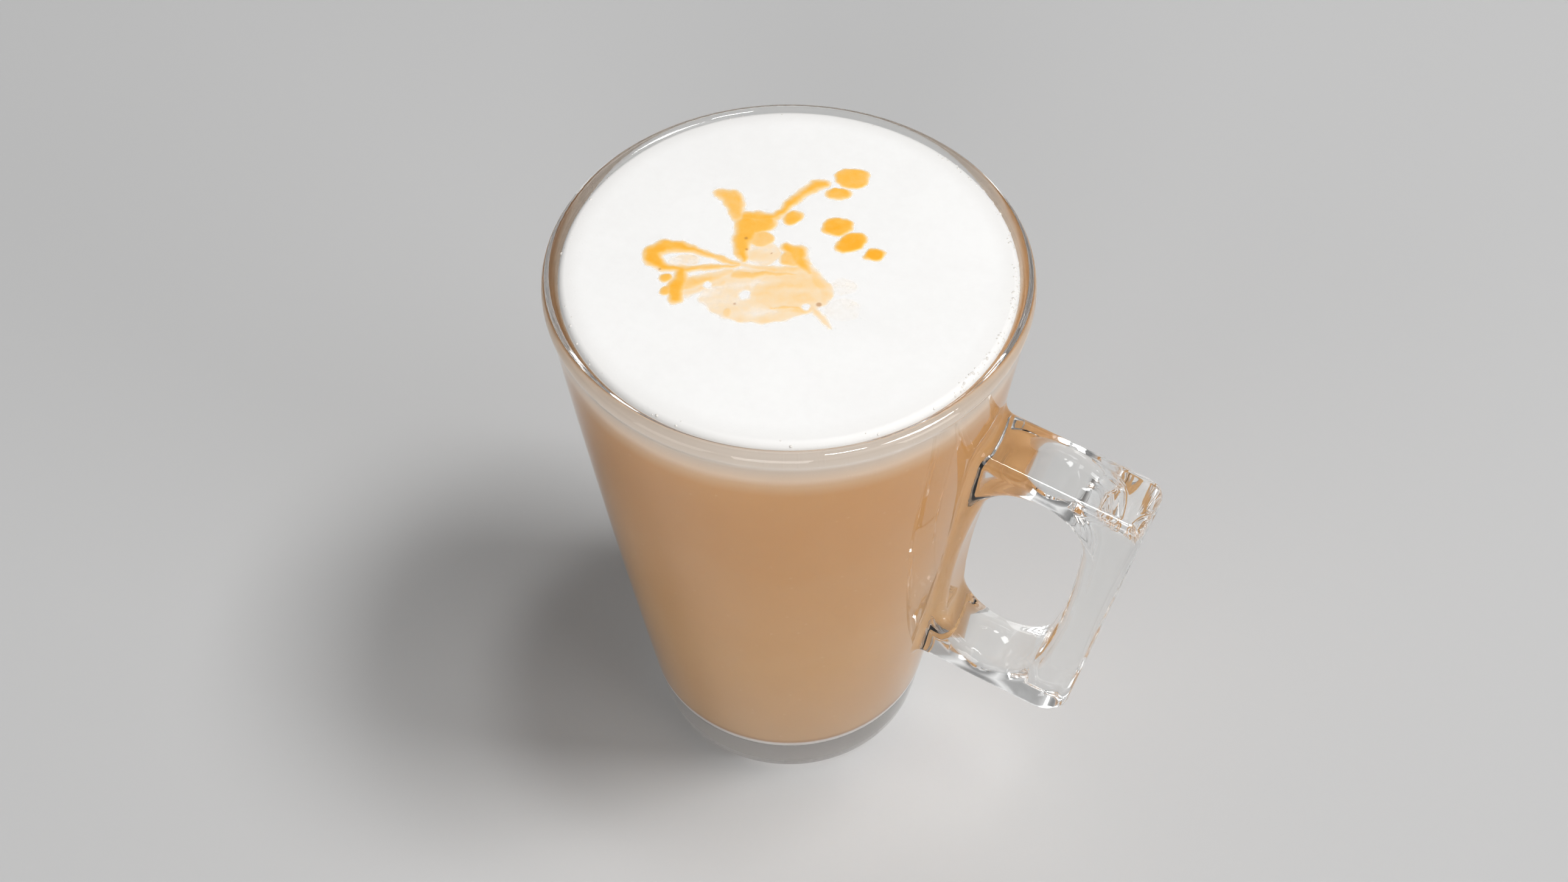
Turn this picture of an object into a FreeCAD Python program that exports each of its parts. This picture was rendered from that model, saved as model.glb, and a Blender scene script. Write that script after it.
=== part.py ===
import FreeCAD, Part
import math
import os
import Sketcher

# A latte in its glass mug. The origin is the centre of the base on the table, +Z is up
# and the handle points along +X. Lengths are in millimetres and angles in degrees.

SIZES = {
    # the mug's revolved wall
    "rimDiameter": 84.0,
    "mugHeight": 120.0,
    "baseDiameter": 53.0,
    "baseEdgeRadius": 3.6,
    "baseThickness": 8.0,
    "floorEdgeRadius": 6.0,
    "footWall": 3.0,
    "crownRadius": 3100.0,
    # the rounded bead at the rim and the shallow hollow under the base
    "lipThickness": 3.0,
    "lipProud": 0.5,
    "lipBlendRadius": 3.0,
    "recessDiameter": 38.0,
    "recessDepth": 1.2,
    # the square handle, which leans with the wall
    "handleThickness": 13.5,
    "handleDrop": 26.6,
    "handleProjection": 27.9,
    "handleLength": 64.6,
    "handleTilt": 8.0,
    "handleTopCorner": 3.5,
    "handleBottomCorner": 6.0,
    "handleEdgeRadius": 2.2,
    "rootRadius": 2.5,
    # the finger hole through the handle, given by the glass left round it
    "gripBar": 7.6,
    "gripTopBar": 3.3,
    "gripBottomBar": 8.7,
    "gripWallGap": 1.6,
    "gripEndInset": 1.1,
    "gripEdgeRadius": 3.0,
    # the layers of the drink
    "foamDepth": 9.4,
    "foamRise": 0.6,
    "foamCrown": 0.4,
    "foamEdgeRadius": 1.3,
}

# Shared measures, written once as expressions on the sheet.
WALL_FOOT_X = "Sizes.baseDiameter / 2"
LIP_RADIUS = "Sizes.lipThickness / 2"
LIP_X = f"Sizes.rimDiameter / 2 - {LIP_RADIUS}"
LIP_Z = f"Sizes.mugHeight - {LIP_RADIUS}"
WALL_TOP_X = "Sizes.rimDiameter / 2 - Sizes.lipProud"
WALL_TOP_Z = f"{LIP_Z} - sqrt(({LIP_RADIUS})^2 - ({LIP_RADIUS} - Sizes.lipProud)^2)"
WALL_SLOPE = f"(({WALL_TOP_X} - {WALL_FOOT_X}) / Sizes.mugHeight)"

BORE_TOP_X = "Sizes.rimDiameter / 2 - Sizes.lipThickness"
FLOOR_X = f"{WALL_FOOT_X} + {WALL_SLOPE} * Sizes.baseThickness - Sizes.footWall"
BORE = [("0", "Sizes.baseThickness"), (FLOOR_X, "Sizes.baseThickness"), (BORE_TOP_X, LIP_Z), ("0", LIP_Z)]
FOAM_Z = "Sizes.mugHeight - Sizes.foamDepth"

HANDLE_X = "Sizes.rimDiameter / 2 + Sizes.handleProjection"
HANDLE_Z = "(Sizes.mugHeight - Sizes.handleDrop)"
HANDLE_LOW_X = f"({HANDLE_X} - Sizes.handleLength * sin(Sizes.handleTilt))"
HANDLE_LOW_Z = f"({HANDLE_Z} - Sizes.handleLength * cos(Sizes.handleTilt))"
HANDLE_ROOT_X = "Sizes.baseDiameter / 3"
GRIP_MIDDLE = "(Sizes.handleLength + Sizes.gripBottomBar - Sizes.gripTopBar) / 2"
GRIP_Z = f"({HANDLE_LOW_Z} + {GRIP_MIDDLE} * cos(Sizes.handleTilt))"
GRIP_CROWN = f"{GRIP_Z} * (Sizes.mugHeight - {GRIP_Z}) / 2 / Sizes.crownRadius"
GRIP_WALL_X = f"({WALL_FOOT_X} + {WALL_SLOPE} * {GRIP_Z} + {GRIP_CROWN})"
GRIP_FACE_X = f"{HANDLE_X} - ({HANDLE_Z} - {GRIP_Z}) * tan(Sizes.handleTilt)"
GRIP_WIDTH = (
    f"({GRIP_FACE_X} - Sizes.gripBar / cos(Sizes.handleTilt) - {GRIP_WALL_X} - Sizes.gripWallGap)"
)
GRIP_X = f"({GRIP_WALL_X} + Sizes.gripWallGap + {GRIP_WIDTH} / 2)"
GRIP_HEIGHT = "(Sizes.handleLength - Sizes.gripTopBar - Sizes.gripBottomBar)"
GRIP_END_RADIUS = f"({GRIP_WIDTH} / 2 - Sizes.gripEndInset)"
GRIP_END = f"({GRIP_HEIGHT} / 2 - {GRIP_END_RADIUS})"
GRIP_SIDE_RADIUS = f"({GRIP_WIDTH}^2 / 4 + {GRIP_END}^2 - {GRIP_END_RADIUS}^2) / 2 / Sizes.gripEndInset"
GRIP_EDGE_RADIUS = "min(Sizes.gripEdgeRadius; 0.95 * Sizes.gripTopBar)"
TOUCH = 0.02

doc = FreeCAD.newDocument("Latte")
sheet = doc.addObject("Spreadsheet::Sheet", "Sizes")
for row, (alias, number) in enumerate(SIZES.items(), start=1):
    sheet.set(f"A{row}", alias)
    sheet.set(f"B{row}", str(number))
    sheet.setAlias(f"B{row}", alias)
doc.recompute()


def value(expression):
    return float(sheet.evalExpression(expression))


def newBody(label):
    body = doc.addObject("PartDesign::Body", label)
    body.Label = label
    return body


def newSketch(body, name):
    """A sketch on the body's XZ plane: its own X is +X and its own Y is +Z."""
    plane = next(item for item in body.Origin.OriginFeatures if item.Role == "XZ_Plane")
    sketch = body.newObject("Sketcher::SketchObject", name)
    sketch.AttachmentSupport = [(plane, "")]
    sketch.MapMode = "FlatFace"
    return sketch


def bind(sketch, kind, *where, expression):
    """Adds a constraint whose value follows an expression on the sheet."""
    number = sketch.addConstraint(Sketcher.Constraint(kind, *where, value(expression)))
    sketch.setExpression(f"Constraints[{number}]", expression)


def pin(sketch, edge, end, x, z):
    """Ties an edge's end, or an arc's centre, to its place; a 0 puts it on the axis."""
    for kind, axis, expression in (("DistanceX", -2, x), ("DistanceY", -1, z)):
        if expression == "0":
            sketch.addConstraint(Sketcher.Constraint("PointOnObject", edge, end, axis))
        else:
            bind(sketch, kind, -1, 1, edge, end, expression=expression)


def arcCentre(start, end, radius):
    """Centre of the short arc from start to end that bulges to the right of that way."""
    half = (end - start) / 2
    across = FreeCAD.Vector(half.y, -half.x, 0).normalize()
    return start + half - across * math.sqrt(radius**2 - half.Length**2)


def arcBetween(start, end, radius):
    centre = arcCentre(start, end, radius)
    outward = ((start + end) / 2 - centre).normalize()
    return Part.Arc(start, centre + outward * radius, end)


def drawOutline(sketch, points, radii):
    """A closed outline through points given as pairs of expressions.

    radii gives an edge's number its arc's radius, and the other edges are straight.
    """
    places = [FreeCAD.Vector(value(x), value(z), 0) for x, z in points]
    following = [*range(1, len(points)), 0]
    for edge, start in enumerate(places):
        end = places[following[edge]]
        if edge in radii:
            sketch.addGeometry(arcBetween(start, end, value(radii[edge])))
        else:
            sketch.addGeometry(Part.LineSegment(start, end))
    for edge, (x, z) in enumerate(points):
        sketch.addConstraint(Sketcher.Constraint("Coincident", edge, 2, following[edge], 1))
        pin(sketch, edge, 1, x, z)
    for edge, radius in radii.items():
        bind(sketch, "Radius", edge, expression=radius)


def turn(body, kind, name, points, radii):
    """Adds or cuts an outline turned all the way round Z."""
    sketch = newSketch(body, name + "Outline")
    drawOutline(sketch, points, radii)
    feature = body.newObject(kind, name)
    feature.Profile = sketch
    feature.ReferenceAxis = (sketch, ["V_Axis"])
    feature.Angle = 360
    doc.recompute()
    return feature


def edgesWhere(feature, test):
    """Names of the feature's edges whose points all pass the test."""
    numbered = enumerate(feature.Shape.Edges, start=1)
    return [f"Edge{number}" for number, edge in numbered if all(map(test, edge.discretize(9)))]


def roundOff(body, base, name, edges, radius):
    feature = body.newObject("PartDesign::Fillet", name)
    feature.Base = (base, edges)
    feature.setExpression("Radius", radius)
    doc.recompute()
    return feature


def roundRing(body, base, name, ringX, ringZ, radius):
    """Rounds the circle round Z that passes through a point of the XZ plane."""
    x, z = value(ringX), value(ringZ)
    ring = edgesWhere(base, lambda p: math.dist((math.hypot(p.x, p.y), p.z), (x, z)) < TOUCH)
    return roundOff(body, base, name, ring, radius)


def drawGrip(sketch):
    """The finger hole: two end arcs on its leaning centre line and two long side arcs."""
    tilt = math.radians(value("Sizes.handleTilt"))
    along = FreeCAD.Vector(math.sin(tilt), math.cos(tilt), 0)
    across = FreeCAD.Vector(along.y, -along.x, 0)
    centre = FreeCAD.Vector(value(GRIP_X), value(GRIP_Z), 0)
    sideCentre = value(f"{GRIP_SIDE_RADIUS} - {GRIP_WIDTH} / 2")
    joints = []
    for right, up in ((1, 1), (-1, 1), (-1, -1), (1, -1)):
        away = (across * right * sideCentre + along * up * value(GRIP_END)).normalize()
        joints.append(centre + along * up * value(GRIP_END) + away * value(GRIP_END_RADIUS))
    top = along * value(f"{GRIP_HEIGHT} / 2")
    side = across * value(f"{GRIP_WIDTH} / 2")
    for edge, middle in enumerate((top, -side, -top, side)):
        sketch.addGeometry(Part.Arc(joints[edge], centre + middle, joints[edge - 3]))
    for edge in range(4):
        sketch.addConstraint(Sketcher.Constraint("Tangent", edge, 2, (edge + 1) % 4, 1))
    for edge, sign in ((0, "+"), (2, "-")):
        x = f"{GRIP_X} {sign} {GRIP_END} * sin(Sizes.handleTilt)"
        z = f"{GRIP_Z} {sign} {GRIP_END} * cos(Sizes.handleTilt)"
        pin(sketch, edge, 3, x, z)
        bind(sketch, "Radius", edge, expression=GRIP_END_RADIUS)
    for edge in (1, 3):
        bind(sketch, "Radius", edge, expression=GRIP_SIDE_RADIUS)


def makeSlab(body):
    """The handle as a flat slab: square outside, its inner end buried in the wall."""
    rise = f"({HANDLE_X} - {HANDLE_ROOT_X}) * tan(Sizes.handleTilt)"
    lowRise = f"({HANDLE_LOW_X} - {HANDLE_ROOT_X}) * tan(Sizes.handleTilt)"
    points = [
        (HANDLE_LOW_X, HANDLE_LOW_Z),
        (HANDLE_X, HANDLE_Z),
        (HANDLE_ROOT_X, f"{HANDLE_Z} + {rise}"),
        (HANDLE_ROOT_X, f"{HANDLE_LOW_Z} + {lowRise}"),
    ]
    outline = newSketch(body, "slabOutline")
    drawOutline(outline, points, {})
    feature = body.newObject("PartDesign::Pad", "slab")
    feature.Profile = outline
    feature.SideType = "Symmetric"
    feature.setExpression("Length", "Sizes.handleThickness")
    doc.recompute()
    corners = (
        ("topCorner", HANDLE_X, HANDLE_Z, "Sizes.handleTopCorner"),
        ("bottomCorner", HANDLE_LOW_X, HANDLE_LOW_Z, "Sizes.handleBottomCorner"),
    )
    for name, x, z, radius in corners:
        place = (value(x), value(z))
        edges = edgesWhere(feature, lambda p: math.dist((p.x, p.z), place) < TOUCH)
        feature = roundOff(body, feature, name, edges, radius)
    return feature


def makeHandle(body):
    """The slab with its finger hole, every edge round as it comes from the mould."""
    slab = makeSlab(body)
    side = value("Sizes.handleThickness / 2")
    rootX = value(HANDLE_ROOT_X)

    def onFace(p):
        return abs(abs(p.y) - side) < TOUCH

    square = edgesWhere(slab, onFace)
    buried = edgesWhere(slab, lambda p: p.x < rootX + TOUCH)
    outer = [name for name in square if name not in buried]
    edged = roundOff(body, slab, "handleEdges", outer, "Sizes.handleEdgeRadius")

    hole = newSketch(body, "gripOutline")
    drawGrip(hole)
    grip = body.newObject("PartDesign::Pocket", "grip")
    grip.Profile = hole
    grip.Type = "ThroughAll"
    grip.SideType = "Symmetric"
    doc.recompute()
    centre = (value(GRIP_X), value(GRIP_Z))
    reach = value(f"{GRIP_HEIGHT} / 2") + TOUCH
    rim = edgesWhere(grip, lambda p: onFace(p) and math.dist((p.x, p.z), centre) < reach)
    return roundOff(body, grip, "gripEdges", rim, GRIP_EDGE_RADIUS)


def blendRoot(body, wall):
    """A hollow fillet where the handle grows out of the wall."""
    foot = FreeCAD.Vector(value(WALL_FOOT_X), 0, 0)
    top = FreeCAD.Vector(value(WALL_TOP_X), value(WALL_TOP_Z), 0)
    crown = value("Sizes.crownRadius")
    centre = arcCentre(foot, top, crown)
    side = value("Sizes.handleThickness / 2")

    def onWall(p):
        wallX = centre.x + math.sqrt(crown**2 - (p.z - centre.y) ** 2)
        return abs(math.hypot(p.x, p.y) - wallX) < TOUCH and p.x > 0 and abs(p.y) < side + TOUCH

    seams = edgesWhere(wall, lambda p: abs(p.y) < TOUCH)
    root = [name for name in edgesWhere(wall, onWall) if name not in seams]
    return roundOff(body, wall, "root", root, "Sizes.rootRadius")


def makeGlass():
    """The pressed-glass mug: wall and handle in one piece, hollowed from the top."""
    body = newBody("glass")
    makeHandle(body)
    outline = [
        ("0", "0"),
        (WALL_FOOT_X, "0"),
        (WALL_TOP_X, WALL_TOP_Z),
        (LIP_X, "Sizes.mugHeight"),
        (BORE_TOP_X, LIP_Z),
        ("0", LIP_Z),
    ]
    radii = {1: "Sizes.crownRadius", 2: LIP_RADIUS, 3: LIP_RADIUS}
    wall = turn(body, "PartDesign::Revolution", "wall", outline, radii)
    blended = blendRoot(body, wall)
    lip = roundRing(body, blended, "lipBlend", WALL_TOP_X, WALL_TOP_Z, "Sizes.lipBlendRadius")
    roundRing(body, lip, "baseEdge", WALL_FOOT_X, "0", "Sizes.baseEdgeRadius")

    bore = turn(body, "PartDesign::Groove", "bore", BORE, {1: "Sizes.crownRadius"})
    roundRing(body, bore, "floorEdge", FLOOR_X, "Sizes.baseThickness", "Sizes.floorEdgeRadius")

    recess = [("0", "0"), ("Sizes.recessDiameter / 2", "0"), ("0", "Sizes.recessDepth")]
    bow = "(Sizes.recessDiameter^2 / 4 + Sizes.recessDepth^2) / 2 / Sizes.recessDepth"
    turn(body, "PartDesign::Groove", "recess", recess, {1: bow})
    return body


def makeCoffee():
    """The milky coffee: the bore's own shape, floor edge and all, cut level at the foam."""
    body = newBody("coffee")
    fill = turn(body, "PartDesign::Revolution", "coffeeFill", BORE, {1: "Sizes.crownRadius"})
    roundRing(body, fill, "coffeeFloorEdge", FLOOR_X, "Sizes.baseThickness", "Sizes.floorEdgeRadius")
    above = [("0", FOAM_Z), (LIP_X, FOAM_Z), (LIP_X, "Sizes.mugHeight"), ("0", "Sizes.mugHeight")]
    turn(body, "PartDesign::Groove", "aboveCoffee", above, {})
    return body


def makeFoam():
    """The milk foam: fills the bore down to the coffee and stands over the rim, slightly domed."""
    body = newBody("foam")
    edge = "Sizes.foamEdgeRadius"
    top = "Sizes.mugHeight + Sizes.foamRise"
    crownX = f"({BORE_TOP_X} - {edge})"
    outline = [
        *BORE[:3],
        (BORE_TOP_X, f"{top} - {edge}"),
        (crownX, top),
        ("0", f"{top} + Sizes.foamCrown"),
    ]
    dome = f"({crownX}^2 + Sizes.foamCrown^2) / 2 / Sizes.foamCrown"
    turn(body, "PartDesign::Revolution", "foamFill", outline, {1: "Sizes.crownRadius", 3: edge, 4: dome})
    below = [("0", "0"), (LIP_X, "0"), (LIP_X, FOAM_Z), ("0", FOAM_Z)]
    turn(body, "PartDesign::Groove", "belowFoam", below, {})
    return body


pieces = [makeGlass(), makeCoffee(), makeFoam()]
doc.recompute()

for item in doc.Objects:
    if "Invalid" in item.State or "Error" in item.State:
        raise RuntimeError(f"{item.Name} failed: {item.State}")
for piece in pieces:
    if piece.Shape.isNull() or not piece.Shape.isValid() or len(piece.Shape.Solids) != 1:
        raise RuntimeError(f"{piece.Label} isn't one sound solid")

os.makedirs("parts", exist_ok=True)
for piece in pieces:
    piece.Shape.exportStep(f"parts/{piece.Label}.step")
    print(piece.Label, "volume", round(piece.Shape.Volume), "mm3")
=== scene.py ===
import math
import random
import bpy
from mathutils import Matrix, Vector, noise
from mathutils.bvhtree import BVHTree


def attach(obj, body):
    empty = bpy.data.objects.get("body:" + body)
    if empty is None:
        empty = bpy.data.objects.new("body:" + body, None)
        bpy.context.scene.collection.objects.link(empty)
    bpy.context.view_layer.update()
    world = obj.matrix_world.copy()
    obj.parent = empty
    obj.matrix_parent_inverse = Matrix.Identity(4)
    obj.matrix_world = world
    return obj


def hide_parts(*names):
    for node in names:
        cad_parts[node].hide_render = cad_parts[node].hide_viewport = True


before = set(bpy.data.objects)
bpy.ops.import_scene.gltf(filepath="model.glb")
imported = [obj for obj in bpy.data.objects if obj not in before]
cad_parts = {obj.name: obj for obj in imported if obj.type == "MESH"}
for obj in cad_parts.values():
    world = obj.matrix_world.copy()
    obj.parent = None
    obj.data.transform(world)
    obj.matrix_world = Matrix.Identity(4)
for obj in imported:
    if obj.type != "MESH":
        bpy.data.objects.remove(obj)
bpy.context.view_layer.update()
millimetre = 0.001
latheWeld = 0.00001       # points of a turned piece nearer than this are one, in metres
grainFineness = 9.0       # how many times finer a mottle's grain is than its clouds


# Modelling helpers

def deselectAll():
    if bpy.context.object and bpy.context.object.mode != "OBJECT":
        bpy.ops.object.mode_set(mode="OBJECT")
    bpy.ops.object.select_all(action="DESELECT")


def pick(piece):
    deselectAll()
    bpy.context.view_layer.objects.active = piece
    piece.select_set(True)


def applyModifiers(piece):
    pick(piece)
    for modifier in list(piece.modifiers):
        bpy.ops.object.modifier_apply(modifier=modifier.name)


def smooth(piece, degrees):
    pick(piece)
    bpy.ops.object.shade_smooth_by_angle(angle=math.radians(degrees))


def arcPoints(centre, radius, first, last, steps):
    # points along an arc of the profile, in degrees from the +r direction
    points = []
    for step in range(steps + 1):
        turn = math.radians(first + (last - first) * step / steps)
        points.append((centre[0] + radius * math.cos(turn), centre[1] + radius * math.sin(turn)))
    return points


def latheProfile(name, profile, steps):
    # draws the profile (radius and height in mm) by extruding one vertex, then spins it round Z
    deselectAll()
    bpy.ops.mesh.primitive_plane_add(size=0.01, location=(0, 0, 0))
    piece = bpy.context.object
    piece.name = piece.data.name = name
    bpy.ops.object.mode_set(mode="EDIT")
    bpy.ops.mesh.select_all(action="SELECT")
    bpy.ops.mesh.merge(type="CENTER")
    here = (0.0, 0.0)
    for index, there in enumerate(profile):
        move = ((there[0] - here[0]) * millimetre, 0, (there[1] - here[1]) * millimetre)
        if index == 0:
            bpy.ops.transform.translate(value=move)
        else:
            bpy.ops.mesh.extrude_region_move(TRANSFORM_OT_translate={"value": move})
        here = there
    bpy.ops.mesh.select_all(action="SELECT")
    bpy.ops.mesh.spin(steps=steps, angle=2 * math.pi, center=(0, 0, 0), axis=(0, 0, 1))
    bpy.ops.mesh.select_all(action="SELECT")
    bpy.ops.mesh.remove_doubles(threshold=latheWeld)
    bpy.ops.mesh.normals_make_consistent(inside=False)
    bpy.ops.object.mode_set(mode="OBJECT")
    return piece


# Material helpers

def newMaterial(name):
    material = bpy.data.materials.new(name)
    material.use_nodes = True
    nodes = material.node_tree.nodes
    return material, nodes, material.node_tree.links, nodes["Principled BSDF"]


def setSockets(node, values):
    for name, value in values.items():
        node.inputs[name].default_value = value


def assign(piece, material):
    piece.data.materials.clear()
    piece.data.materials.append(material)


def finishPiece(piece, node):
    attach(piece, "root")
    if node:
        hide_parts(node)


def newGroup(name, inputs, outputs):
    group = bpy.data.node_groups.new(name, "ShaderNodeTree")
    for label, kind, value in inputs:
        socket = group.interface.new_socket(name=label, in_out="INPUT", socket_type=kind)
        if value is not None:
            socket.default_value = value
    for label, kind in outputs:
        group.interface.new_socket(name=label, in_out="OUTPUT", socket_type=kind)
    return group, group.nodes.new("NodeGroupInput"), group.nodes.new("NodeGroupOutput")


def placeGroup(nodes, links, group, place, values):
    node = nodes.new("ShaderNodeGroup")
    node.node_tree = group
    links.new(place, node.inputs["Place"])
    setSockets(node, values)
    return node


def mapRange(nodes, links, value, fromLow, fromHigh, toLow=0.0, toHigh=1.0, kind="SMOOTHSTEP"):
    node = nodes.new("ShaderNodeMapRange")
    node.interpolation_type = kind
    links.new(value, node.inputs["Value"])
    setSockets(node, {"From Min": fromLow, "From Max": fromHigh, "To Min": toLow, "To Max": toHigh})
    return node.outputs["Result"]


def mixColour(nodes, links, share, low, high):
    # low and high are each a colour or the socket of one
    node = nodes.new("ShaderNodeMix")
    node.data_type = "RGBA"
    links.new(share, node.inputs[0])
    for socket, colour in ((node.inputs[6], low), (node.inputs[7], high)):
        if isinstance(colour, tuple):
            socket.default_value = colour
        else:
            links.new(colour, socket)
    return node.outputs[2]


def colourSteps(nodes, links, value, steps):
    node = nodes.new("ShaderNodeValToRGB")
    ramp = node.color_ramp
    while len(ramp.elements) < len(steps):
        ramp.elements.new(0.5)
    for element, (position, colour) in zip(ramp.elements, steps):
        element.position = position
        element.color = (*colour, 1)
    links.new(value, node.inputs[0])
    return node.outputs[0]


def bump(nodes, links, shader, height, strength, distance):
    node = nodes.new("ShaderNodeBump")
    setSockets(node, {"Strength": strength, "Distance": distance})
    links.new(height, node.inputs["Height"])
    links.new(node.outputs[0], shader.inputs["Normal"])


def makeMottleGroup():
    # soft clouds of tone with a finer grain in them
    group, start, end = newGroup(
        "softMottle",
        [
            ("Place", "NodeSocketVector", None),
            ("Scale", "NodeSocketFloat", 100.0), ("Grain", "NodeSocketFloat", 0.3),
        ],
        [("Mask", "NodeSocketFloat"), ("Fine", "NodeSocketFloat")],
    )
    nodes, links = group.nodes, group.links
    clouds = nodes.new("ShaderNodeTexNoise")
    setSockets(clouds, {"Detail": 4.0, "Roughness": 0.55, "Distortion": 0.4})
    grain = nodes.new("ShaderNodeTexNoise")
    setSockets(grain, {"Detail": 2.0, "Roughness": 0.6})
    finer = nodes.new("ShaderNodeMath")
    finer.operation = "MULTIPLY"
    finer.inputs[1].default_value = grainFineness
    blend = nodes.new("ShaderNodeMix")
    links.new(start.outputs["Place"], clouds.inputs["Vector"])
    links.new(start.outputs["Scale"], clouds.inputs["Scale"])
    links.new(start.outputs["Scale"], finer.inputs[0])
    links.new(start.outputs["Place"], grain.inputs["Vector"])
    links.new(finer.outputs[0], grain.inputs["Scale"])
    links.new(start.outputs["Grain"], blend.inputs[0])
    links.new(clouds.outputs[0], blend.inputs[2])
    links.new(grain.outputs[0], blend.inputs[3])
    links.new(blend.outputs[0], end.inputs["Mask"])
    links.new(grain.outputs[0], end.inputs["Fine"])
    return group


def makeBubbleGroup():
    # tiny round bubbles: Mask is 1 in the middle of each, Share says how many of the cells hold one
    group, start, end = newGroup(
        "tinyBubbles",
        [
            ("Place", "NodeSocketVector", None), ("Scale", "NodeSocketFloat", 900.0),
            ("Size", "NodeSocketFloat", 0.3), ("Share", "NodeSocketFloat", 0.3),
        ],
        [("Mask", "NodeSocketFloat")],
    )
    nodes, links = group.nodes, group.links
    cells = nodes.new("ShaderNodeTexVoronoi")
    links.new(start.outputs["Place"], cells.inputs["Vector"])
    links.new(start.outputs["Scale"], cells.inputs["Scale"])
    dot = nodes.new("ShaderNodeMapRange")
    dot.interpolation_type = "SMOOTHSTEP"
    links.new(cells.outputs["Distance"], dot.inputs["Value"])
    links.new(start.outputs["Size"], dot.inputs["From Min"])
    setSockets(dot, {"From Max": 0.0, "To Min": 0.0, "To Max": 1.0})
    pickOne = nodes.new("ShaderNodeSeparateColor")
    links.new(cells.outputs["Color"], pickOne.inputs[0])
    few = nodes.new("ShaderNodeMath")
    few.operation = "LESS_THAN"
    links.new(pickOne.outputs[0], few.inputs[0])
    links.new(start.outputs["Share"], few.inputs[1])
    both = nodes.new("ShaderNodeMath")
    both.operation = "MULTIPLY"
    links.new(dot.outputs[0], both.inputs[0])
    links.new(few.outputs[0], both.inputs[1])
    links.new(both.outputs[0], end.inputs["Mask"])
    return group


softMottle = makeMottleGroup()
tinyBubbles = makeBubbleGroup()


def objectPlace(nodes):
    return nodes.new("ShaderNodeTexCoord").outputs["Object"]


# The glass

glass = {
    "footRadius": 26.5, "wallTop": 41.5, "wallTopZ": 117.38, "footEdge": 3.6, "crown": 3100.0,
    "beadRadius": 1.5, "beadCentre": (40.5, 118.5), "lipBlend": 3.0,
    "floorRadius": 24.4, "floorZ": 8.0, "floorEdge": 6.0, "boreTop": 39.0, "boreTopZ": 118.5,
    "wallPoints": (8, 114, 6),      # heights along the outside: first, last and step
    "borePoints": (114, 16, -6),    # and down the inside
    "leanAt": 116, "beadTries": 20, "floorRings": (12.0, 4.0, 0.0),
    "turns": 192, "weld": 0.000001,
    "nearLathe": 0.00006,     # how near a point lies to the turned body to take its smoothness, in metres
}
glassLook = {
    "clear": (0.985, 0.985, 0.98, 1), "deep": (0.955, 0.965, 0.955, 1), "ior": 1.5,
    "shadowTint": (0.88, 0.88, 0.88, 1), "waviness": 0.00003, "waveScale": 90.0, "waveStrength": 0.5,
}


def crownedRadius(z, low, lowZ, high, highZ):
    # a nearly straight side, a little fuller half way up
    straight = low + (high - low) * (z - lowZ) / (highZ - lowZ)
    return straight + (z - lowZ) * (highZ - z) / 2 / glass["crown"]


def wallRadius(z):
    return crownedRadius(z, glass["footRadius"], 0.0, glass["wallTop"], glass["wallTopZ"])


def boreRadius(z):
    return crownedRadius(z, glass["floorRadius"], glass["floorZ"], glass["boreTop"], glass["boreTopZ"])


def slopeOf(radius, z):
    # how far a side leans, over a millimetre of its height
    return math.atan2(radius(z + 0.5) - radius(z - 0.5), 1.0)


def turnedBody():
    # the body as turned on a lathe, with none of the handle, to give the pressed wall its even shading
    edge, blend = glass["footEdge"], glass["lipBlend"]
    lean = slopeOf(wallRadius, edge)
    profile = arcPoints((wallRadius(edge) - edge / math.cos(lean), edge), edge, -90, -math.degrees(lean), 10)
    profile += [(wallRadius(z), z) for z in range(*glass["wallPoints"])]
    lean = slopeOf(wallRadius, glass["leanAt"])
    reach = blend + glass["beadRadius"]
    beadR, beadZ = glass["beadCentre"]
    blendZ = beadZ
    for attempt in range(glass["beadTries"]):      # the blend's height and radius settle together
        blendR = wallRadius(blendZ) + blend / math.cos(lean)
        blendZ = beadZ - math.sqrt(reach**2 - (blendR - beadR) ** 2)
    toBead = math.degrees(math.atan2(beadZ - blendZ, beadR - blendR))
    profile += arcPoints((blendR, blendZ), blend, 180 - math.degrees(lean), toBead, 8)
    profile += arcPoints((beadR, beadZ), glass["beadRadius"], toBead - 180, 180, 28)[1:]
    profile += [(boreRadius(z), z) for z in range(*glass["borePoints"])]
    floor, edge = glass["floorZ"], glass["floorEdge"]
    lean = slopeOf(boreRadius, floor + edge)
    centre = (boreRadius(floor + edge) - edge / math.cos(lean), floor + edge)
    profile += arcPoints(centre, edge, -math.degrees(lean), -90, 10)
    profile += [(radius, floor) for radius in glass["floorRings"]]
    piece = latheProfile("turnedBody", profile, glass["turns"])
    smooth(piece, 60)
    return piece


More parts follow.
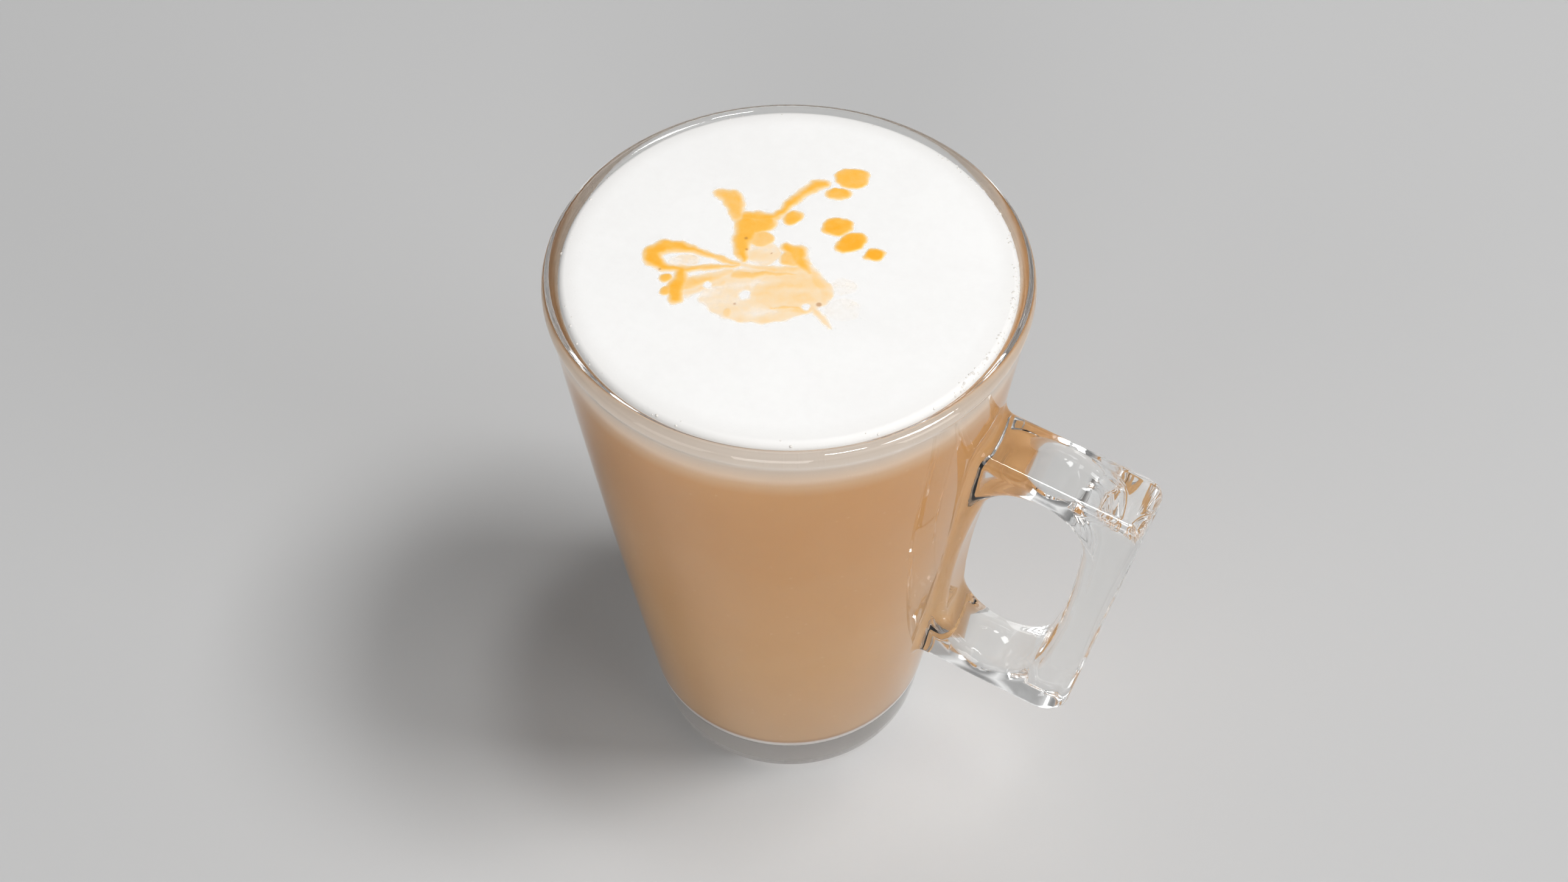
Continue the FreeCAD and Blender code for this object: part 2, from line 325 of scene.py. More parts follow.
def glassMaterial():
    material, nodes, links, shader = newMaterial("clearGlass")
    place = objectPlace(nodes)
    waves = placeGroup(nodes, links, softMottle, place, {"Scale": glassLook["waveScale"], "Grain": 0.0})
    tint = mixColour(nodes, links, waves.outputs["Mask"], glassLook["clear"], glassLook["deep"])
    links.new(tint, shader.inputs["Base Color"])
    setSockets(shader, {"Roughness": 0.0, "IOR": glassLook["ior"], "Transmission Weight": 1.0})
    bump(nodes, links, shader, waves.outputs["Mask"], glassLook["waveStrength"], glassLook["waviness"])
    lampWay = nodes.new("ShaderNodeBsdfTransparent")
    lampWay.inputs["Color"].default_value = glassLook["shadowTint"]
    lightPath = nodes.new("ShaderNodeLightPath")
    choose = nodes.new("ShaderNodeMixShader")
    links.new(lightPath.outputs["Is Shadow Ray"], choose.inputs[0])
    links.new(shader.outputs[0], choose.inputs[1])
    links.new(lampWay.outputs[0], choose.inputs[2])
    links.new(choose.outputs[0], nodes["Material Output"].inputs["Surface"])
    return material


def makeGlass():
    deselectAll()
    pick(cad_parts["glass"])
    bpy.ops.object.duplicate()
    piece = bpy.context.object
    piece.name = piece.data.name = "mugGlass"
    bpy.ops.object.mode_set(mode="EDIT")
    bpy.ops.mesh.select_all(action="SELECT")
    bpy.ops.mesh.remove_doubles(threshold=glass["weld"])
    bpy.ops.object.mode_set(mode="OBJECT")
    smooth(piece, 60)
    flats = piece.modifiers.new("flatFacesStayFlat", "WEIGHTED_NORMAL")
    flats.weight = 50
    flats.keep_sharp = True
    lathe = turnedBody()
    turned = piece.vertex_groups.new(name="turned")
    corners = [vertex.co for vertex in lathe.data.vertices]
    finder = BVHTree.FromPolygons(corners, [face.vertices[:] for face in lathe.data.polygons])
    onLathe = [
        vertex.index for vertex in piece.data.vertices
        if finder.find_nearest(vertex.co, glass["nearLathe"])[0] is not None
    ]
    turned.add(onLathe, 1.0, "REPLACE")
    even = piece.modifiers.new("evenTurnedWall", "DATA_TRANSFER")
    even.object = lathe
    even.use_loop_data = True
    even.data_types_loops = {"CUSTOM_NORMAL"}
    even.loop_mapping = "POLYINTERP_NEAREST"
    even.vertex_group = "turned"
    applyModifiers(piece)
    bpy.data.objects.remove(lathe)
    assign(piece, glassMaterial())
    finishPiece(piece, "glass")
    return piece


# The drink

drink = {
    "reach": 0.12,              # how far the drink reaches into the wall, so that no air shows between them
    "foamZ": 110.6, "foamTopZ": 120.45, "foamCrown": 0.4, "foamEdge": 1.3,
    "coffeeTurns": 160, "foamTurns": 192,
    "coffeeStep": 3,            # between the rings up the coffee's side
    "foamRings": (112.5, 114.5, 116.5, 118.1),      # heights up the foam's side
    "foamShares": (0.95, 0.9, 0.8, 0.7, 0.6, 0.5, 0.4, 0.3, 0.2, 0.1, 0.0),     # of the way out, on top
}
drinkLook = {
    "paintedFootLight": (0.86, 0.82, 0.79), "line": (0.40, 0.22, 0.11),      # painted light at the coffee's foot, standing in for light seen through the clear glass foot, and a darker line along its upper edge
    "low": (0.485, 0.295, 0.148), "middle": (0.512, 0.290, 0.113), "high": (0.512, 0.265, 0.092),
    "meet": (0.56, 0.36, 0.205),
    "milky": (0.66, 0.48, 0.31, 1), "dot": (0.80, 0.62, 0.45, 1),      # the coffee's pale clouds and bubbles
    # the foam that shows through the side
    "bandLow": (0.635, 0.487, 0.36), "bandMiddle": (0.54, 0.45, 0.37), "bandHigh": (0.66, 0.60, 0.54),
    # foamEdge is painted shade, where the foam's top rounds down to the glass
    "foam": (0.905, 0.898, 0.885, 1), "foamShade": (0.875, 0.866, 0.852, 1), "foamEdge": (0.80, 0.785, 0.765),
    "speck": (0.62, 0.52, 0.42, 1),
}
coffeeTones = {"from": 0.008, "to": 0.1106}       # heights in metres that the coffee's tones run between
foamTones = {
    "from": 0.1106, "to": 0.1194, "topFrom": 0.1192, "topTo": 0.1201,      # heights in metres
    "edgeFrom": 0.0345, "edgeTo": 0.039, "edgeShadeMost": 0.75,      # distances from the middle, in metres, over which painted shade darkens the foam's top towards the glass
}


def foamHeight(radius):
    # height of the foam's flat top, in mm, at a distance from the middle
    rim = glass["boreTop"] + drink["reach"] - drink["foamEdge"]
    return drink["foamTopZ"] + drink["foamCrown"] * (1 - min(radius / rim, 1.0) ** 2)


def coffeeMaterial():
    material, nodes, links, shader = newMaterial("milkyCoffee")
    place = objectPlace(nodes)
    parts = nodes.new("ShaderNodeSeparateXYZ")
    links.new(place, parts.inputs[0])
    mottle = placeGroup(nodes, links, softMottle, place, {"Scale": 45.0, "Grain": 0.15})
    height = mapRange(nodes, links, parts.outputs[2], coffeeTones["from"], coffeeTones["to"], kind="LINEAR")
    # the lowest steps paint light at the coffee's foot: a pale band that stands in for light seen through the
    # clear glass foot
    tone = colourSteps(nodes, links, height, [
        (0.0, drinkLook["paintedFootLight"]), (0.026, drinkLook["paintedFootLight"]), (0.034, drinkLook["line"]),
        (0.046, drinkLook["low"]), (0.35, drinkLook["middle"]), (0.85, drinkLook["high"]),
        (0.97, drinkLook["high"]), (1.0, drinkLook["meet"]),
    ])
    milkiness = mapRange(nodes, links, mottle.outputs["Mask"], 0.35, 0.7, 0.0, 0.07)
    paler = mixColour(nodes, links, milkiness, tone, drinkLook["milky"])
    bubbles = placeGroup(nodes, links, tinyBubbles, place, {"Scale": 700.0, "Size": 0.32, "Share": 0.12})
    dots = mapRange(nodes, links, bubbles.outputs["Mask"], 0.0, 1.0, 0.0, 0.12)
    links.new(mixColour(nodes, links, dots, paler, drinkLook["dot"]), shader.inputs["Base Color"])
    roughness = mapRange(nodes, links, mottle.outputs["Fine"], 0.2, 0.8, 0.38, 0.5)
    links.new(roughness, shader.inputs["Roughness"])
    bump(nodes, links, shader, bubbles.outputs["Mask"], 0.2, 0.00004)
    return material


def makeCoffee():
    reach, edge = drink["reach"], glass["floorEdge"]
    foot = glass["floorZ"] - reach
    profile = [(0.0, foot), (10.0, foot)]
    profile += arcPoints((boreRadius(foot + edge) + reach - edge * 1.01, foot + edge), edge, -90, -6, 12)
    z = foot + edge
    while z < drink["foamZ"] - drink["coffeeStep"]:
        z += drink["coffeeStep"]
        profile.append((boreRadius(z) + reach, z))
    profile += [(boreRadius(drink["foamZ"]) + reach, drink["foamZ"]), (0.0, drink["foamZ"])]
    piece = latheProfile("milkyCoffee", profile, drink["coffeeTurns"])
    smooth(piece, 50)
    assign(piece, coffeeMaterial())
    finishPiece(piece, "coffee")
    return piece


def foamMaterial():
    material, nodes, links, shader = newMaterial("milkFoam")
    place = objectPlace(nodes)
    parts = nodes.new("ShaderNodeSeparateXYZ")
    links.new(place, parts.inputs[0])
    flat = nodes.new("ShaderNodeVectorMath")
    flat.operation = "MULTIPLY"
    flat.inputs[1].default_value = (1, 1, 0)
    links.new(place, flat.inputs[0])
    outward = nodes.new("ShaderNodeVectorMath")
    outward.operation = "LENGTH"
    links.new(flat.outputs[0], outward.inputs[0])
    clouds = placeGroup(nodes, links, softMottle, place, {"Scale": 60.0, "Grain": 0.35})
    lit = mapRange(nodes, links, clouds.outputs["Mask"], 0.3, 0.7)
    top = mixColour(nodes, links, lit, drinkLook["foamShade"], drinkLook["foam"])
    # painted shade: the foam's top darkens towards the glass, where it rounds down
    edge = mapRange(
        nodes, links, outward.outputs["Value"],
        foamTones["edgeFrom"], foamTones["edgeTo"], 0.0, foamTones["edgeShadeMost"],
    )
    top = mixColour(nodes, links, edge, top, (*drinkLook["foamEdge"], 1))
    specks = placeGroup(nodes, links, tinyBubbles, place, {"Scale": 120.0, "Size": 0.10, "Share": 0.12})
    browned = mapRange(nodes, links, specks.outputs["Mask"], 0.0, 1.0, 0.0, 0.35)
    top = mixColour(nodes, links, browned, top, drinkLook["speck"])
    height = mapRange(nodes, links, parts.outputs[2], foamTones["from"], foamTones["to"], kind="LINEAR")
    # the side band ends in the same painted edge shade at the foam's rounded top
    band = colourSteps(nodes, links, height, [
        (0.0, drinkLook["meet"]), (0.20, drinkLook["bandLow"]), (0.5, drinkLook["bandMiddle"]),
        (0.8, drinkLook["bandHigh"]), (1.0, drinkLook["foamEdge"]),
    ])
    onTop = mapRange(nodes, links, parts.outputs[2], foamTones["topFrom"], foamTones["topTo"])
    colour = mixColour(nodes, links, onTop, band, top)
    links.new(colour, shader.inputs["Base Color"])
    fine = placeGroup(nodes, links, tinyBubbles, place, {"Scale": 1500.0, "Size": 0.45, "Share": 0.5})
    roughness = mapRange(nodes, links, clouds.outputs["Fine"], 0.2, 0.8, 0.55, 0.75)
    links.new(roughness, shader.inputs["Roughness"])
    bump(nodes, links, shader, fine.outputs["Mask"], 0.25, 0.00006)
    return material


def makeFoam():
    reach, edge, top = drink["reach"], drink["foamEdge"], drink["foamTopZ"]
    profile = [(0.0, drink["foamZ"]), (20.0, drink["foamZ"])]
    profile += [(boreRadius(z) + reach, z) for z in (drink["foamZ"], *drink["foamRings"])]
    rim = glass["boreTop"] + reach - edge
    profile += arcPoints((rim, top - edge), edge, 0, 85, 8)
    for share in drink["foamShares"]:
        profile.append((rim * share, foamHeight(rim * share)))
    piece = latheProfile("milkFoam", profile, drink["foamTurns"])
    smooth(piece, 60)
    assign(piece, foamMaterial())
    finishPiece(piece, "foam")
    return piece


# The bubbles where the foam meets the glass

edgeBubbles = {
    "count": 210, "seed": 7, "radius": (0.10, 0.34), "inset": (0.15, 1.1), "insetPower": 1.6,      # mm
    "handleSide": (-20.0, 75.0),            # degrees round, where two of every three lie
    "smallest": 0.5, "squash": 0.8, "sink": 0.25,
    "edgeFrom": 1.18, "edgeDrop": 0.55,     # where the foam's round edge starts, and how fast it falls
    "skin": (0.60, 0.55, 0.50, 1), "shine": (0.88, 0.86, 0.83, 1),
}


def makeEdgeBubbles():
    dice = random.Random(edgeBubbles["seed"])
    deselectAll()
    bpy.ops.mesh.primitive_ico_sphere_add(subdivisions=2, radius=millimetre, location=(0, 0, 0))
    pattern = bpy.context.object
    copies = []
    for index in range(edgeBubbles["count"]):
        if index % 3:      # most lie on the handle's side of the foam
            turn = math.radians(dice.uniform(*edgeBubbles["handleSide"]))
        else:
            turn = dice.uniform(0, 2 * math.pi)
        size = dice.uniform(*edgeBubbles["radius"]) * dice.uniform(edgeBubbles["smallest"], 1.0)
        away = glass["boreTop"] - dice.uniform(*edgeBubbles["inset"]) ** edgeBubbles["insetPower"]
        pastEdge = max(0.0, away - (glass["boreTop"] - edgeBubbles["edgeFrom"]))
        height = drink["foamTopZ"] - pastEdge**2 * edgeBubbles["edgeDrop"] - edgeBubbles["sink"] * size
        bubble = bpy.data.objects.new("bubble", pattern.data.copy())
        bpy.context.scene.collection.objects.link(bubble)
        x, y = away * millimetre * math.cos(turn), away * millimetre * math.sin(turn)
        bubble.location = (x, y, height * millimetre)
        bubble.scale = (size, size, size * edgeBubbles["squash"])
        copies.append(bubble)
    bpy.data.objects.remove(pattern)
    deselectAll()
    for bubble in copies:
        bubble.select_set(True)
    piece = copies[0]
    bpy.context.view_layer.objects.active = piece
    bpy.ops.object.join()
    bpy.ops.object.transform_apply(location=True, rotation=True, scale=True)
    piece.name = piece.data.name = "foamEdgeBubbles"
    smooth(piece, 60)
    material, nodes, links, shader = newMaterial("bubbleSkin")
    tone = placeGroup(nodes, links, softMottle, objectPlace(nodes), {"Scale": 400.0, "Grain": 0.3})
    colour = mixColour(nodes, links, tone.outputs["Mask"], edgeBubbles["skin"], edgeBubbles["shine"])
    links.new(colour, shader.inputs["Base Color"])
    setSockets(shader, {"Roughness": 0.12})
    assign(piece, material)
    finishPiece(piece, None)
    return piece


# The syrup drizzled on the foam

syrup = {
    "cell": 0.2, "width": 44.0, "depth": 50.0, "middle": (-4.0, 4.5),      # the sheet it is cut from, mm
    "soft": 0.9, "across": 27.0,            # soft edges in mm, and the turn of the drops' long side
    "wander": 0.45, "wanderScale": 0.42, "rippleShare": 0.35, "rippleScale": 1.3,      # how the edges wander
    "dropThinning": 0.12,                   # a drop is this much weaker at its rim
    "paleBelow": 0.5, "flowTurn": 6,        # pale milk-thinned syrup is streaked along its flow
    "streakAlong": 0.16, "streakAcross": 0.6, "streakDepth": 0.45, "cloudScale": 0.9, "cloudDepth": 0.2,
    "thickScale": 0.8, "thickDepth": 0.14,
    "gapFrom": 0.45, "gapSoft": 0.9, "speckReach": 1.6,
    "least": 0.02, "lift": 0.012, "rise": 0.12, "body": 0.30,
    "seed": 7,                              # without it the edges would wander another way in every run
}
noiseLevels = {"sway": 3.1, "ripple": 7.7, "streak": 1.7, "cloud": 4.4, "thick": 9.3}
syrupLook = {
    "brown": (0.40, 0.14, 0.02, 1),
    "thin": (0.90, 0.84, 0.76), "pale": (0.91, 0.72, 0.49), "honey": (0.93, 0.62, 0.27),
    "amber": (0.94, 0.49, 0.062), "deep": (0.94, 0.415, 0.008),
}
# Threads: a strength, then points across the foam with the thread's half width at each, mm
syrupThreads = [
    (0.95, [
        (-7.3, -3.7, 0.1), (-11.1, -4.0, 0.25), (-15.4, -4.1, 0.5), (-18.6, -4.4, 0.95),
        (-20.8, -5.5, 1.2), (-22.0, -7.6, 1.25), (-21.2, -9.1, 1.3),
    ]),
    (0.92, [
        (-21.2, -9.1, 1.3), (-18.9, -10.1, 0.8), (-15.3, -8.7, 0.45), (-11.4, -6.4, 0.3),
        (-7.2, -3.9, 0.15),
    ]),
    (0.92, [(-15.6, -9.2, 0.9), (-14.8, -11.2, 1.25), (-14.4, -13.2, 1.45), (-13.6, -15.4, 1.1)]),
    (0.46, [(-13.4, -11.6, 1.7), (-11.2, -9.4, 1.3), (-8.0, -5.8, 0.8)]),
    (0.40, [(-12.4, -13.6, 0.7), (-10.4, -11.4, 0.7), (-8.0, -8.6, 0.6)]),
    (0.72, [(-18.4, 10.2, 0.95), (-16.3, 10.2, 1.5), (-14.6, 8.6, 1.5), (-13.0, 6.2, 1.0)]),
    (0.86, [
        (-11.6, 7.0, 1.0), (-9.2, 8.0, 1.0), (-7.4, 8.9, 0.6), (-6.5, 11.0, 0.6),
        (-6.5, 13.1, 0.8), (-5.9, 15.2, 0.65), (-5.3, 17.4, 0.8), (-4.6, 19.2, 1.05),
        (-3.2, 20.2, 0.8),
    ]),
    (0.88, [
        (-10.6, 5.4, 1.9), (-9.8, 3.4, 1.8), (-9.9, 1.2, 1.5), (-8.4, -1.0, 1.0),
        (-7.2, -2.6, 0.4),
    ]),
    (0.80, [
        (-2.0, 3.4, 1.0), (-0.2, 3.2, 1.5), (1.2, 1.7, 1.35), (2.9, 0.4, 0.8),
        (4.2, -0.4, 0.4),
    ]),
    (0.60, [(-6.8, -6.2, 1.1), (-4.4, -4.8, 0.9), (-1.2, -2.9, 0.7), (2.2, -1.6, 0.3)]),
    (0.40, [
        (-7.7, -3.7, 0.5), (-3.9, -3.0, 0.8), (-0.1, -1.7, 0.9), (3.4, 0.3, 1.0),
        (5.6, -0.8, 1.2), (7.8, -2.8, 1.2), (8.8, -5.0, 1.0),
    ]),
    (0.66, [(1.9, -10.3, 0.35), (4.0, -9.2, 0.42), (6.0, -8.2, 0.25)]),
    (0.38, [(8.2, -7.4, 0.35), (10.4, -8.2, 0.5), (12.6, -10.0, 0.15)]),
]
# Drops: a strength, the middle, half the length and width in mm, and a turn from the drops' long side
syrupDrops = [
    (0.84, (0.5, 23.7), (3.0, 2.5), 0), (0.84, (0.1, 19.2), (2.2, 1.3), 0),
    (1.0, (3.4, 11.8), (2.7, 2.2), 10), (1.02, (7.2, 9.4), (2.9, 1.9), 35),
    (1.1, (12.0, 8.5), (1.8, 1.4), 5), (0.86, (-4.4, 10.2), (1.9, 1.5), 40),
    (0.62, (-6.9, 3.2), (2.2, 2.0), 0), (0.84, (-8.6, 6.2), (2.8, 1.9), 10),
    (0.28, (-5.0, 0.4), (2.9, 3.0), 0), (0.20, (-16.4, -7.0), (3.0, 1.4), 4),
    (0.74, (-17.2, -12.0), (1.0, 1.0), 0), (0.74, (-15.8, -14.6), (1.1, 1.1), 0),
    (0.62, (0.0, 1.6), (2.4, 1.9), 0), (0.27, (-1.2, -8.4), (10.2, 6.4), 0),
    (0.36, (3.4, -5.4), (6.8, 5.0), 0), (0.22, (-6.6, -9.6), (5.0, 5.4), 0),
    (0.42, (-4.3, -14.3), (1.0, 1.1), 0), (0.10, (12.7, -5.2), (3.2, 2.6), 0),
    (0.11, (10.6, -0.4), (2.4, 2.0), 0),
]
# Gaps in the syrup, and specks of spice: the middle and a radius, mm
syrupGaps = [((-3.4, -9.7), 1.1), ((7.0, -7.5), 0.75), ((-10.0, -10.4), 0.9)]
spiceSpecks = [
    ((-4.0, -12.1), 0.22), ((-1.9, -16.1), 0.16), ((-20.6, -11.2), 0.2), ((-19.0, -10.7), 0.2),
    ((-8.0, -0.1), 0.22), ((-3.8, 1.0), 0.16), ((8.6, -6.0), 0.42), ((-9.3, 2.2), 0.28),
]


def ease(value):
    value = min(max(value, 0.0), 1.0)
    return value * value * (3 - 2 * value)


def threadStrength(x, y, thread):
    strength, points = thread
    best = 0.0
    for (ax, ay, aw), (bx, by, bw) in zip(points, points[1:]):
        dx, dy = bx - ax, by - ay
        along = min(max(((x - ax) * dx + (y - ay) * dy) / (dx * dx + dy * dy), 0.0), 1.0)
        gap = math.hypot(x - ax - along * dx, y - ay - along * dy) - (aw + (bw - aw) * along)
        if gap < syrup["soft"]:
            best = max(best, ease(0.5 - gap / syrup["soft"] / 2))
    return strength * best


def dropStrength(x, y, drop):
    strength, (cx, cy), (longHalf, shortHalf), turn = drop
    turn = math.radians(syrup["across"] + turn)
    u = (x - cx) * math.cos(turn) + (y - cy) * math.sin(turn)
    v = (y - cy) * math.cos(turn) - (x - cx) * math.sin(turn)
    out = math.hypot(u / longHalf, v / shortHalf)
    soft = syrup["soft"] / shortHalf
    body = ease((1 + soft / 2 - out) / soft) if soft < 1 else ease(1.5 - out)
    return strength * body * (1.0 - syrup["dropThinning"] * min(out, 1.0) ** 2)


def syrupStrength(x, y):
    wander, scale, fine = syrup["wander"], syrup["wanderScale"], syrup["rippleScale"]
    sway = noise.noise_vector((x * scale, y * scale, noiseLevels["sway"])) * wander
    ripple = noise.noise_vector((x * fine, y * fine, noiseLevels["ripple"])) * wander * syrup["rippleShare"]
    sway = sway + ripple
    px, py = x + sway[0], y + sway[1]
    strength = 0.0
    for drop in syrupDrops:
        strength = max(strength, dropStrength(px, py, drop))
    for thread in syrupThreads:
        strength = max(strength, threadStrength(px, py, thread))
    if strength < syrup["paleBelow"]:
        flow = math.radians(syrup["across"] + syrup["flowTurn"])
        u, v = x * math.cos(flow) + y * math.sin(flow), y * math.cos(flow) - x * math.sin(flow)
        streak = noise.noise((u * syrup["streakAlong"], v * syrup["streakAcross"], noiseLevels["streak"]))
        cloud = noise.noise((x * syrup["cloudScale"], y * syrup["cloudScale"], noiseLevels["cloud"]))
        strength *= 1.0 + syrup["streakDepth"] * streak + syrup["cloudDepth"] * cloud
    else:
        thick = noise.noise((x * syrup["thickScale"], y * syrup["thickScale"], noiseLevels["thick"]))
        strength *= 1.0 + syrup["thickDepth"] * thick
    for (gx, gy), radius in syrupGaps:
        strength *= ease((math.hypot(px - gx, py - gy) / radius - syrup["gapFrom"]) / syrup["gapSoft"])
    return max(strength, 0.0)


def spiceStrength(x, y):
    return max(
        ease(syrup["speckReach"] - math.hypot(x - sx, y - sy) / radius) for (sx, sy), radius in spiceSpecks
    )


def syrupMaterial():
    material, nodes, links, shader = newMaterial("caramelSyrup")
    place = objectPlace(nodes)
    amount = nodes.new("ShaderNodeAttribute")
    amount.attribute_name = "strength"
    mottle = placeGroup(nodes, links, softMottle, place, {"Scale": 260.0, "Grain": 0.4})
    shade = nodes.new("ShaderNodeMath")
    shade.operation = "MULTIPLY"
    links.new(amount.outputs["Fac"], shade.inputs[0])
    links.new(mapRange(nodes, links, mottle.outputs["Mask"], 0.2, 0.8, 0.86, 1.06), shade.inputs[1])
    colour = colourSteps(nodes, links, shade.outputs[0], [
        (0.0, syrupLook["thin"]), (0.25, syrupLook["pale"]), (0.45, syrupLook["honey"]),
        (0.78, syrupLook["amber"]), (1.0, syrupLook["deep"]),
    ])
    spice = nodes.new("ShaderNodeAttribute")
    spice.attribute_name = "spice"
    browned = mapRange(nodes, links, spice.outputs["Fac"], 0.0, 1.0, 0.0, 0.6)
    links.new(mixColour(nodes, links, browned, colour, syrupLook["brown"]), shader.inputs["Base Color"])
    links.new(mapRange(nodes, links, shade.outputs[0], 0.02, 0.26), shader.inputs["Alpha"])
    links.new(mapRange(nodes, links, shade.outputs[0], 0.2, 1.0, 0.65, 0.38), shader.inputs["Roughness"])
    bump(nodes, links, shader, mottle.outputs["Fine"], 0.15, 0.00005)
    return material


def makeSyrup():
    noise.seed_set(syrup["seed"])
    cell = syrup["cell"]
    cx, cy = syrup["middle"]
    deselectAll()
    bpy.ops.mesh.primitive_grid_add(
        x_subdivisions=round(syrup["width"] / cell), y_subdivisions=round(syrup["depth"] / cell),
        size=millimetre, location=(0, 0, 0),
    )
    piece = bpy.context.object
    piece.name = piece.data.name = "syrupDrizzle"
    bpy.ops.object.mode_set(mode="EDIT")
    bpy.ops.transform.resize(value=(syrup["width"], syrup["depth"], 1))
    bpy.ops.transform.translate(value=(cx * millimetre, cy * millimetre, 0))
    bpy.ops.object.mode_set(mode="OBJECT")
    mesh = piece.data
    strengths = []
    for vertex in mesh.vertices:
        x, y = vertex.co.x / millimetre, vertex.co.y / millimetre
        strength = syrupStrength(x, y)
        strengths.append(strength)
        lift = min(strength, 1.0)
        vertex.co.z = (foamHeight(math.hypot(x, y)) + syrup["lift"] + syrup["rise"] * ease(lift)) * millimetre
    held = mesh.attributes.new("strength", "FLOAT", "POINT")
    spice = mesh.attributes.new("spice", "FLOAT", "POINT")
    for index, vertex in enumerate(mesh.vertices):
        x, y = vertex.co.x / millimetre, vertex.co.y / millimetre
        held.data[index].value = strengths[index]
        spice.data[index].value = spiceStrength(x, y)
    deselectAll()
    pick(piece)
    bpy.ops.object.mode_set(mode="EDIT")
    bpy.ops.mesh.select_all(action="DESELECT")
    bpy.ops.object.mode_set(mode="OBJECT")
    for polygon in mesh.polygons:
        polygon.select = max(strengths[index] for index in polygon.vertices) < syrup["least"]
    bpy.ops.object.mode_set(mode="EDIT")
    bpy.ops.mesh.select_mode(type="FACE")
    bpy.ops.mesh.delete(type="FACE")
    bpy.ops.mesh.select_all(action="SELECT")
    bpy.ops.mesh.extrude_region_move(TRANSFORM_OT_translate={"value": (0, 0, -syrup["body"] * millimetre)})
    bpy.ops.mesh.select_all(action="SELECT")
    bpy.ops.mesh.normals_make_consistent(inside=False)
    bpy.ops.object.mode_set(mode="OBJECT")
    smooth(piece, 60)
    assign(piece, syrupMaterial())
    piece.visible_shadow = piece.visible_diffuse = False      # so thin that the foam under it stays as light
    finishPiece(piece, None)
    return piece


# Studio

view = {
    "azimuth": 27.0, "elevation": 50.72, "roll": -0.2, "distance": 0.407, "aim": (-0.0039, 0.0056, 0.0655),
    "lens": 48.91, "sensor": 36.0, "nearest": 0.01,
}
studio = {
    "floorSize": 6.0, "floorColor": (0.545, 0.545, 0.545, 1), "floorRoughness": 0.8, "floorShine": 0.2,
    "roomGlow": 0.03, "backdrop": 0.62,     # the room's light, and how bright it looks past the table
    # how bright the room looks in the glass, from the horizon up
    "roomSeen": ((0.0, 0.55), (0.22, 0.16), (0.42, 0.30), (0.6, 0.85), (0.85, 0.35), (1.0, 0.7)),
    "facingLight": 0.8,     # what a lamp of strength 1 lights a facing surface to
    "aimHeight": 0.06,
}
# direction round from the front and height over the table in degrees, distance and size in metres, strength
lamps = {
    "key": (111, 63, 2.4, 0.6, 0.74),
    "overhead": (128, 81, 2.6, 0.3, 0.20),
    "front": (20, 25, 2.4, 1.2, 0.37),
    "frontLeft": (-22, 28, 2.4, 1.2, 0.16),
    "rightLow": (84, 20, 3.2, 1.4, 0.25),
    "frontRight": (75, 55, 2.4, 0.8, 0.06),
    "back": (215, 30, 2.6, 1.2, 0.09),
}


def makeCamera():
    data = bpy.data.cameras.new("camera")
    data.lens = view["lens"]
    data.sensor_width = view["sensor"]
    data.clip_start = view["nearest"]
    camera = bpy.data.objects.new("camera", data)
    bpy.context.scene.collection.objects.link(camera)
    turn = (
        Matrix.Rotation(math.radians(view["azimuth"]), 3, "Z")
        @ Matrix.Rotation(math.radians(90 - view["elevation"]), 3, "X")
        @ Matrix.Rotation(math.radians(view["roll"]), 3, "Z")
    )
    place = Vector(view["aim"]) + turn @ Vector((0, 0, view["distance"]))
    camera.matrix_world = Matrix.Translation(place) @ turn.to_4x4()
    bpy.context.scene.camera = camera


def makeFloor():
    deselectAll()
    bpy.ops.mesh.primitive_plane_add(size=studio["floorSize"], location=(0, 0, 0))
    floor = bpy.context.object
    floor.name = "floor"
    material, nodes, links, shader = newMaterial("greyTable")
    setSockets(shader, {
        "Base Color": studio["floorColor"], "Roughness": studio["floorRoughness"],
        "Specular IOR Level": studio["floorShine"],
    })
    assign(floor, material)


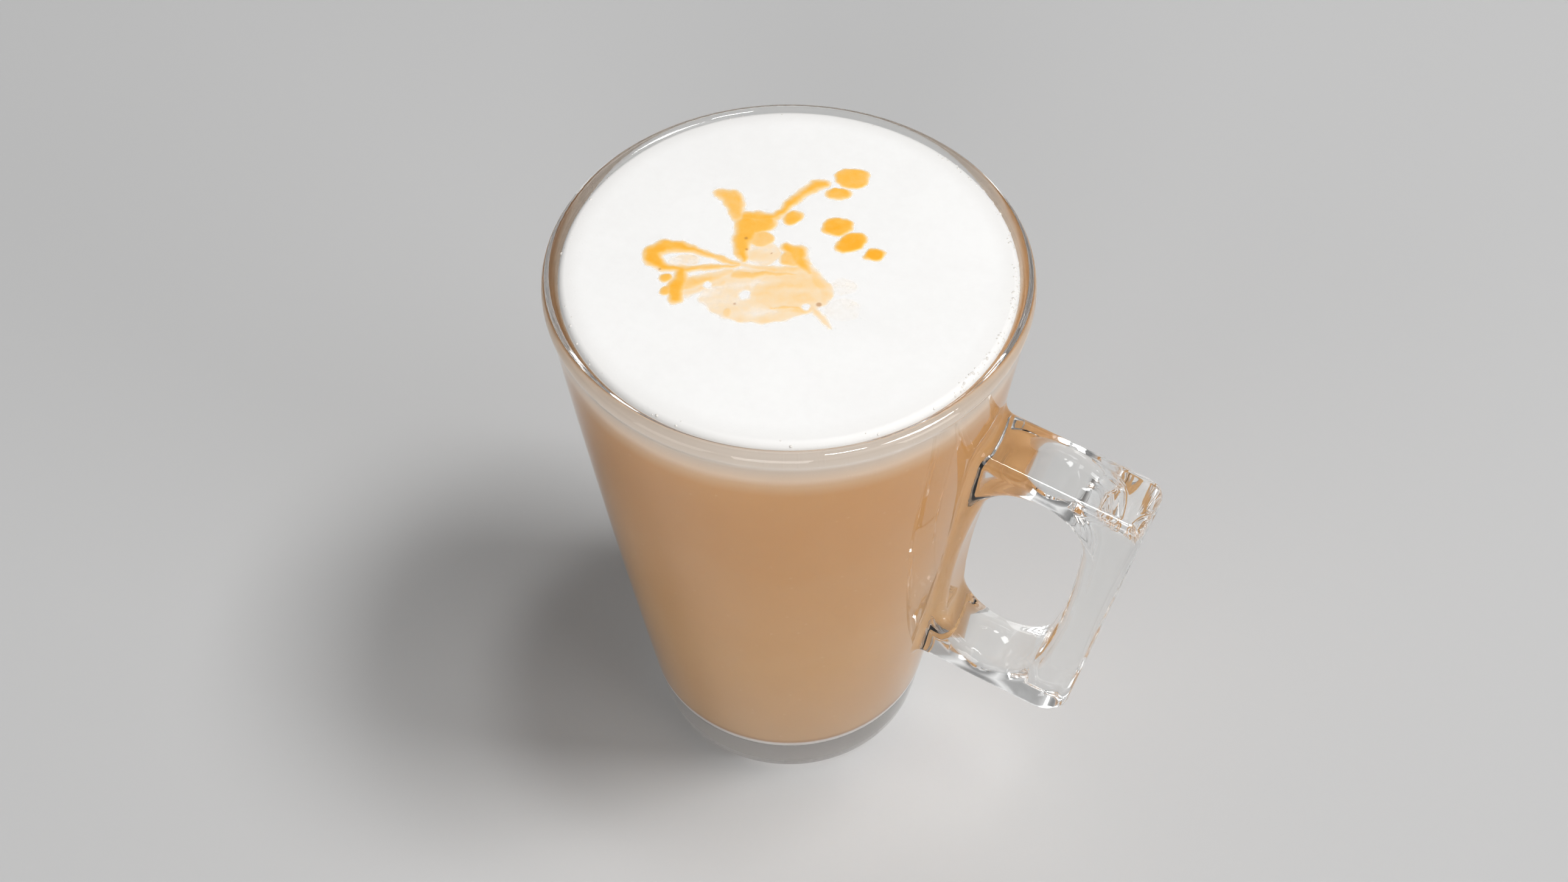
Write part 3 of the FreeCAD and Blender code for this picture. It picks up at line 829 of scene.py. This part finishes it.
def makeLamps():
    for name, (around, height, distance, size, strength) in lamps.items():
        around, height = math.radians(around), math.radians(height)
        out, up = math.cos(height), math.sin(height)
        place = Vector((math.sin(around) * out, -math.cos(around) * out, up)) * distance
        data = bpy.data.lights.new(name, "AREA")
        data.shape = "SQUARE"
        data.size = size
        data.energy = strength * studio["facingLight"] * (math.pi * distance) ** 2
        light = bpy.data.objects.new(name, data)
        bpy.context.scene.collection.objects.link(light)
        light.location = place
        way = Vector((0, 0, studio["aimHeight"])) - place
        light.rotation_euler = way.to_track_quat("-Z", "Y").to_euler()


def makeWorld():
    world = bpy.data.worlds.new("studioWorld")
    bpy.context.scene.world = world
    world.use_nodes = True
    nodes, links = world.node_tree.nodes, world.node_tree.links
    background = nodes["Background"]
    lightPath = nodes.new("ShaderNodeLightPath")
    inGlass = nodes.new("ShaderNodeMath")
    inGlass.operation = "MAXIMUM"
    links.new(lightPath.outputs["Is Glossy Ray"], inGlass.inputs[0])
    links.new(lightPath.outputs["Is Transmission Ray"], inGlass.inputs[1])
    way = nodes.new("ShaderNodeSeparateXYZ")
    links.new(nodes.new("ShaderNodeTexCoord").outputs["Generated"], way.inputs[0])
    steps = [(height, (tone, tone, tone)) for height, tone in studio["roomSeen"]]
    room = colourSteps(nodes, links, way.outputs[2], steps)
    glow, backdrop = studio["roomGlow"], studio["backdrop"]
    colour = mixColour(nodes, links, inGlass.outputs[0], (glow, glow, glow, 1), room)
    plain = (backdrop, backdrop, backdrop, 1)
    colour = mixColour(nodes, links, lightPath.outputs["Is Camera Ray"], colour, plain)
    links.new(colour, background.inputs["Color"])
    background.inputs["Strength"].default_value = 1.0
    bpy.context.scene.view_settings.view_transform = "Standard"


def allowLongLightPaths():
    # light turns many times inside the handle
    cycles = bpy.context.scene.cycles
    cycles.max_bounces = 32
    cycles.transmission_bounces = 32
    cycles.glossy_bounces = 12
    cycles.transparent_max_bounces = 24


print("glass")
makeGlass()
print("drink")
makeCoffee()
makeFoam()
print("bubbles")
makeEdgeBubbles()
print("syrup")
makeSyrup()
print("studio")
makeFloor()
makeLamps()
makeWorld()
allowLongLightPaths()
makeCamera()
